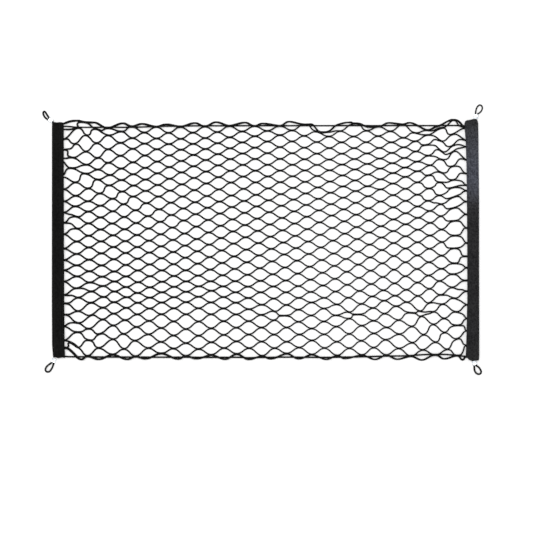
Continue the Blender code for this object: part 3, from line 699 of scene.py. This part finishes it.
class Nodes:
    """A short way to write a material's nodes."""

    def __init__(self, name):
        self.material = bpy.data.materials.new(name)
        self.material.use_nodes = True
        self.tree = self.material.node_tree
        self.shader = self.tree.nodes["Principled BSDF"]

    def add(self, kind, inputs=None, **settings):
        node = self.tree.nodes.new(kind)
        for key, value in settings.items():
            setattr(node, key, value)
        for key, value in (inputs or {}).items():
            self.set(node, key, value)
        return node

    def set(self, node, key, value):
        if isinstance(value, bpy.types.NodeSocket):
            self.tree.links.new(value, node.inputs[key])
        else:
            node.inputs[key].default_value = value

    def here(self):
        return self.add("ShaderNodeTexCoord").outputs["Object"]

    def math(self, operation, *values):
        return self.add("ShaderNodeMath", dict(enumerate(values)), operation=operation).outputs[0]

    def ramp(self, share, *stops):
        node = self.add("ShaderNodeValToRGB", {"Fac": share})
        band = node.color_ramp
        while len(band.elements) < len(stops):
            band.elements.new(0.5)
        for element, (at, colour) in zip(band.elements, stops):
            element.position = at
            element.color = (*colour, 1.0)
        return node.outputs["Color"]

    def noise(self, scale, detail, where):
        inputs = {"Scale": scale, "Detail": detail, "Vector": where}
        return self.add("ShaderNodeTexNoise", inputs).outputs["Fac"]

    def bump(self, height, distance, strength):
        inputs = {"Height": height, "Distance": distance, "Strength": strength}
        return self.add("ShaderNodeBump", inputs).outputs["Normal"]

    def finish(self, colour, roughness, **rest):
        for key, value in {"Base Color": colour, "Roughness": roughness, **rest}.items():
            self.set(self.shader, key.replace("_", " "), value)
        return self.material


def braided_cord(name, dark, light):
    """Fine braid over elastic: a diamond plait round the cord, painted lighter on its raised yarns and
    darker in the grooves between them (painted highlight and painted shade), with a random mottle.
    """
    n = Nodes(name)
    uv = n.add("ShaderNodeUVMap", uv_map="braid").outputs["UV"]
    split = n.add("ShaderNodeSeparateXYZ", {"Vector": uv})
    around = n.math("MULTIPLY", split.outputs["X"], BRAID)
    along = n.math("MULTIPLY", split.outputs["Y"], BRAID * 0.8)
    one = n.math("SINE", n.math("MULTIPLY", n.math("ADD", around, along), math.pi))
    two = n.math("SINE", n.math("MULTIPLY", n.math("SUBTRACT", around, along), math.pi))
    plait = n.math("MULTIPLY", n.math("ABSOLUTE", one), n.math("ABSOLUTE", two))
    here = n.here()
    mottle = n.noise(60.0, 3.0, here)
    share = n.math("ADD", n.math("MULTIPLY", plait, 0.6), n.math("MULTIPLY", mottle, 0.4))
    # Colour from the plait's relief: painted highlight on the raised yarns, painted shade in the grooves
    colour = n.ramp(share, (0.15, dark), (0.85, light))
    rough = n.math("MULTIPLY_ADD", mottle, 0.2, 0.55)
    return n.finish(colour, rough, Normal=n.bump(plait, 0.00018, 0.8), Specular_IOR_Level=0.07)


def woven_tape(name, dark, light, painted_sheen=False):
    """Ribbed binding tape: fine cross ribs and a thread along them, with faint wear and lint, the crests
    painted a little lighter (painted highlight); on the right band a painted sheen also lightens it down
    its upper part.
    """
    n = Nodes(name)
    here = n.here()
    split = n.add("ShaderNodeSeparateXYZ", {"Vector": here})
    ribs = n.math("SINE", n.math("MULTIPLY", split.outputs["Y"], 2 * math.pi / RIB))
    threads = n.math("SINE", n.math("MULTIPLY", split.outputs["X"], 2 * math.pi / THREAD))
    weave = n.math("ADD", n.math("MULTIPLY", ribs, 0.6), n.math("MULTIPLY", threads, 0.4))
    fine = n.noise(900.0, 2.0, here)
    slubs = n.noise(340.0, 3.0, here)
    broad = n.noise(30.0, 3.0, here)
    height = n.math("MULTIPLY_ADD", fine, 0.5, n.math("MULTIPLY", weave, 0.5))
    uneven = n.math("MULTIPLY_ADD", slubs, 1.4, n.math("MULTIPLY", broad, 0.4))
    # Colour follows the slubs and broad noise, a random tone, and a little the weave, painted lighter on
    # the crests that the bump raises: a painted highlight
    share = n.math("MULTIPLY_ADD", weave, 0.15, n.math("SUBTRACT", uneven, 0.4))
    colour = n.ramp(share, (0.15, dark), (0.85, light))
    # Painted sheen: the colour is multiplied by a lighter, bluer ramp down the band, standing in for the
    # light it catches
    if painted_sheen:
        top, bottom = PAINTED_SHEEN[0][0], PAINTED_SHEEN[-1][0]
        reach = {"From Min": place(0, top).y, "From Max": place(0, bottom).y}
        at = n.add("ShaderNodeMapRange", {"Value": split.outputs["Y"], **reach})
        most = max(times for _, times in PAINTED_SHEEN)
        stops = []
        for y, times in PAINTED_SHEEN:
            tint = (1 + (c - 1) * (times - 1) / (most - 1) for c in PAINTED_SHEEN_TINT)
            stops.append(((y - top) / (bottom - top), tuple(times * t for t in tint)))
        painted_sheen_ramp = n.ramp(at.outputs["Result"], *stops)
        both = n.add("ShaderNodeVectorMath", {0: colour, 1: painted_sheen_ramp}, operation="MULTIPLY")
        colour = both.outputs["Vector"]
    rough = n.math("MULTIPLY_ADD", broad, 0.15, 0.78)
    return n.finish(colour, rough, Normal=n.bump(height, 0.00025, 0.7), Specular_IOR_Level=0.06)


def plain_thread(name, colour):
    n = Nodes(name)
    here = n.here()
    twist = n.noise(2500.0, 1.0, here)
    # The thread's tone follows the noise of its bumps, painted lighter where they stand up: a painted
    # highlight
    shade = n.ramp(twist, (0.2, tuple(0.7 * c for c in colour)), (0.8, tuple(1.4 * c for c in colour)))
    return n.finish(shade, 0.6, Normal=n.bump(twist, 0.0001, 0.5), Specular_IOR_Level=0.2)


def bare_metal(name):
    n = Nodes(name)
    here = n.here()
    scratch = n.noise(700.0, 4.0, here)
    colour = n.ramp(scratch, (0.2, (0.54, 0.58, 0.62)), (0.8, (0.78, 0.82, 0.86)))
    rough = n.math("MULTIPLY_ADD", scratch, 0.2, 0.25)
    return n.finish(colour, rough, Normal=n.bump(scratch, 0.00005, 0.4), Metallic=1.0)


# ---------------------------------------------------------------- pieces


def rides(piece, node):
    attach(piece, "root")
    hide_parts(node)
    return piece


def spare_end():
    x, y = resampled(through(SPARE_END, CORD_STEPS), SPARE_POINTS).T
    return in_metres(x, y, STRAND_RADIUS + share_up(x) * (SLOT_Z - STRAND_RADIUS))


def build_net():
    chance = random.Random(NET_SEED)
    routes, widths = zip(*(strand_points(strand, chance) for strand in range(STRANDS)))
    routes, widths = [*routes, spare_end()], [*widths, np.ones(SPARE_POINTS)]
    mesh = tube_mesh("net_strands", routes, widths, STRAND_RADIUS, STRAND_SIDES)
    made = add("net_strands", mesh, braided_cord("net_cord", *CORD_BLACK))
    rides(made, "net")


def build_edge_cords():
    cloth = braided_cord("edge_cord_braid", *CORD_BLACK)
    for name, row in zip(EDGE_CORDS, (0, LAST_ROW)):
        x, y = resampled(through(EDGE_CORDS[name], CORD_STEPS), CORD_POINTS).T
        up = share_up(x)
        z = CORD / 2 + LIFT + EDGE_CORD_RISE * cord_on_top(x, row)
        route = in_metres(x, y, z * (1 - up) + SLOT_Z * up)
        mesh = tube_mesh(name, [route], [np.full(CORD_POINTS, CORD_WIDTH[name])], CORD / 2, CORD_SIDES)
        rides(add(name + "_laced", mesh, cloth), name)


def band_line(name, share):
    """The band's inner and folded edge at a share of its length."""
    rows = BANDS[name]
    length = [0.0]
    for a, b in zip(rows, rows[1:]):
        length.append(length[-1] + abs((b[1] + b[3]) - (a[1] + a[3])) / 2)
    inner_x, inner_y, fold_x, fold_y = (
        np.interp(share * length[-1], length, [row[k] for row in rows]) for k in range(4)
    )
    return place(inner_x, inner_y), place(fold_x, fold_y)


def cut_end(name, share, across, total):
    """How far the cloth is moved along the band by the uneven cut of its nearer end."""
    end = 0 if share < 0.5 else 1
    away = total * min(share, 1 - share)
    if away > CUT_FADE:
        return 0.0
    at, short = zip(*CUT_ENDS[name][end])
    return (1 if end else -1) * UNIT * np.interp(across, at, short) * (1 - away / CUT_FADE)


def build_band(name, cloth, thread, chance):
    """Tape folded over the mesh's end: a bottom layer, a round fold and a top layer, in one."""
    radius = (BAND_HEIGHT - LAYER) / 2
    total = UNIT * abs(BANDS[name][-1][3] - BANDS[name][0][3])
    low, high = LAYER / 2 + BAND_LIFT, BAND_HEIGHT - LAYER / 2
    verts, faces = [], []
    sag = [chance.uniform(-1.0, 1.0) for _ in range(SWELLS)]
    for row in range(ALONG + 1):
        share = row / ALONG
        inner, fold = band_line(name, share)
        width = (fold - inner).length
        across = (fold - inner) / width
        straight = width - radius - LAYER / 2
        wave = np.interp(share * (SWELLS - 1), range(SWELLS), sag)
        section = [(straight * n / ACROSS, low) for n in range(ACROSS)]
        for n in range(FOLD_TURNS + 1):
            turn = math.pi * n / FOLD_TURNS
            section.append((straight + radius * math.sin(turn), low + radius * (1 - math.cos(turn))))
        for n in range(1, ACROSS + 1):
            swell = SWELL * wave * math.sin(math.pi * n / ACROSS)
            section.append((straight * (1 - n / ACROSS), high + swell))
        for far, z in section:
            point = inner + across * far
            verts.append((point.x, point.y + cut_end(name, share, far / width, total), z))
    count = 2 * ACROSS + FOLD_TURNS + 1
    for row in range(ALONG):
        for a in range(row * count, (row + 1) * count - 1):
            faces.append((a, a + 1, a + count + 1, a + count))
    mesh = bpy.data.meshes.new(name + "_tape")
    mesh.from_pydata(verts, [], faces)
    made = add(name + "_tape", mesh, cloth)
    thick = made.modifiers.new("thickness", "SOLIDIFY")
    thick.thickness = LAYER
    thick.offset = 0.0
    mesh.shade_smooth()
    applied(made)
    rides(made, name)
    seam = build_seam(name, thread, chance)
    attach(seam, "root")
    seam.parent = made
    seam.matrix_parent_inverse.identity()


def applied(obj):
    graph = bpy.context.evaluated_depsgraph_get()
    mesh = bpy.data.meshes.new_from_object(obj.evaluated_get(graph))
    obj.modifiers.clear()
    obj.data = mesh


def build_seam(name, thread, chance):
    """Rows of lockstitch along the band: two beside its inner edge and one beside its fold."""
    shape = bmesh.new()
    for inset in STITCH_ROWS:
        share = STITCH_STEP
        while share < 1 - STITCH_STEP:
            inner, fold = band_line(name, share)
            centre = inner + (fold - inner).normalized() * inset
            made = bmesh.ops.create_uvsphere(shape, u_segments=6, v_segments=4, radius=1.0)
            turn = math.radians(chance.uniform(-STITCH_TURN, STITCH_TURN))
            for v in made["verts"]:
                wide, long, high = (half * part for half, part in zip(STITCH, v.co))
                v.co = (
                    centre.x + wide * math.cos(turn) - long * math.sin(turn),
                    centre.y + wide * math.sin(turn) + long * math.cos(turn),
                    BAND_HEIGHT + STITCH_RISE + high,
                )
            share += STITCH_STEP
    return add(name + "_stitches", taken(shape, name + "_stitches"), thread)


def clip_frame(name):
    """A clip's middle, the way out along its loop's legs, and the way to the left of that."""
    x, y, degrees = CLIPS[name]
    turn = math.radians(degrees)
    out = Vector((math.cos(turn), math.sin(turn)))
    return place(x, y), out, Vector((-out.y, out.x))


def rounded(width, height, corner, points=6):
    """A round-cornered rectangle about the origin."""
    found = []
    for quarter, (sx, sy) in enumerate(((1, 1), (-1, 1), (-1, -1), (1, -1))):
        for n in range(points):
            turn = math.pi / 2 * (quarter + n / (points - 1))
            x = sx * (width / 2 - corner) + corner * math.cos(turn)
            y = sy * (height / 2 - corner) + corner * math.sin(turn)
            found.append((x, y))
    return found


def build_clip(name, metal):
    """A sleeve of sheet metal pressed flat round the two legs of its loop."""
    middle, out, left = clip_frame(name)
    wide, long, tall = CLIP_SIZE
    # Out along its skin and back inside: how far along, how far pressed in, how far inside the skin
    sections = [(along * long, press * CLIP_PRESS, 0.0) for along, press in CLIP_PRESSES]
    sections += [(along * long, 0.0, CLIP_WALL) for along in (0.5, 0.0, -0.5)]
    shape = bmesh.new()
    rings = []
    for along, pinch, inset in sections:
        ring = []
        corner = CLIP_CORNER - inset
        for x, z in rounded(wide - 2 * inset, tall - 2 * inset - 2 * pinch, corner - pinch):
            over = middle + out * along + left * x
            ring.append(shape.verts.new((over.x, over.y, tall / 2 + z)))
        rings.append(ring)
    for a, b in zip(rings, rings[1:] + rings[:1]):
        for n in range(len(a)):
            m = (n + 1) % len(a)
            shape.faces.new((a[n], a[m], b[m], b[n]))
    bmesh.ops.recalc_face_normals(shape, faces=shape.faces)
    mesh = taken(shape, name + "_sleeve")
    mesh.set_sharp_from_angle(angle=math.radians(CLIP_SHARP))
    return rides(add(name + "_sleeve", mesh, metal), name)


def build_loop(name, cloth):
    """A bight of cord with both legs inside its clip, lying on the surface."""
    middle, out, left = clip_frame(name.replace("loop", "clip"))
    face = middle + out * (CLIP_SIZE[1] / 2 + CLIP_GAP)
    cord = THIN_LOOP[1] if name == THIN_LOOP[0] else CORD
    apart = (CORD + LEG_GAP) / 2
    points = [place(x, y) for x, y in LOOPS[name]]
    if (points[0] - face).dot(left) < 0:
        apart = -apart
    near, far = face + left * apart, face - left * apart
    deep, ahead = out * -LEG_DEPTH, out * LEG_STRAIGHT
    smooth = through([tuple(p) for p in (near + ahead, *points, far + ahead)], CURVE_STEPS)
    run = [tuple(near + deep), tuple(near), *map(tuple, smooth), tuple(far), tuple(far + deep)]
    curve = bpy.data.curves.new(name, "CURVE")
    curve.dimensions = "3D"
    curve.bevel_depth = cord / 2
    curve.bevel_resolution = 4
    curve.use_fill_caps = True
    spline = curve.splines.new("POLY")
    spline.points.add(len(run) - 1)
    for point, (x, y) in zip(spline.points, run):
        point.co = (x, y, cord / 2 + LIFT, 1.0)
    made = add(name + "_cord", curve, cloth)
    rides(made, name)


def loop_cloth():
    """The loops' braid, laid out in space, because their curves carry no map. Its colour is painted
    darker towards the sunken edges of the braid's cells, a painted shade between the yarns.
    """
    n = Nodes("loop_cord")
    here = n.here()
    cells = n.add("ShaderNodeTexVoronoi", {"Vector": here, "Scale": 1400.0}).outputs["Distance"]
    # Painted shade: darker where the cells sink at their edges
    colour = n.ramp(cells, (0.1, (0.011, 0.011, 0.011)), (0.9, (0.002, 0.002, 0.002)))
    return n.finish(colour, 0.62, Normal=n.bump(cells, -0.00012, 0.6), Specular_IOR_Level=0.07)


def build_stage():
    mesh = bpy.data.meshes.new("floor")
    corners = [(x * FLOOR_HALF, y * FLOOR_HALF, 0) for x, y in ((-1, -1), (1, -1), (1, 1), (-1, 1))]
    mesh.from_pydata(corners, [], [(0, 1, 2, 3)])
    floor = add("floor", mesh, Nodes("paper").finish((0.96, 0.96, 0.96, 1.0), 0.9))


def build_light():
    bpy.context.scene.view_settings.view_transform = "Standard"
    world = bpy.data.worlds.new("studio")
    bpy.context.scene.world = world
    world.use_nodes = True
    sky = world.node_tree.nodes["Background"].inputs
    sky["Color"].default_value = (1, 1, 1, 1)
    sky["Strength"].default_value = WORLD_STRENGTH
    for name, where, size, power in LIGHTS:
        light = bpy.data.lights.new(name, "AREA")
        light.size = size
        light.energy = power
        lamp = add(name, light)
        lamp.location = where
        lamp.rotation_euler = (-Vector(where)).to_track_quat("-Z", "Y").to_euler()


def build_camera():
    camera = bpy.data.cameras.new("camera")
    camera.sensor_width = SENSOR
    camera.lens = SENSOR * (CAMERA_HEIGHT - NET_LEVEL) / (PHOTO_WIDTH * UNIT)
    camera.clip_end = 50.0
    made = add("camera", camera)
    made.location = (*place(PHOTO_MIDDLE, PHOTO_MIDDLE), CAMERA_HEIGHT)
    bpy.context.scene.camera = made


def main():
    build_camera()
    build_stage()
    cloth = loop_cloth()
    metal = bare_metal("clip_metal")
    for name in LOOPS:
        clip = build_clip(name.replace("loop", "clip"), metal)
        build_loop(name, cloth)
    build_net()
    build_edge_cords()
    chance = random.Random(BAND_SEED)
    thread = plain_thread("black_thread", (0.012, 0.012, 0.013))
    left = woven_tape("tape_left", (0.001, 0.001, 0.001), (0.009, 0.009, 0.0085))
    # The right tape is the left one's cloth painted several times lighter, a painted sheen standing in
    # for the light it catches, with the painted sheen down its upper part as well
    right = woven_tape("tape_right", (0.004, 0.004, 0.0045), (0.032, 0.032, 0.033), painted_sheen=True)
    build_band("band_left", left, thread, chance)
    build_band("band_right", right, thread, chance)
    build_light()


main()
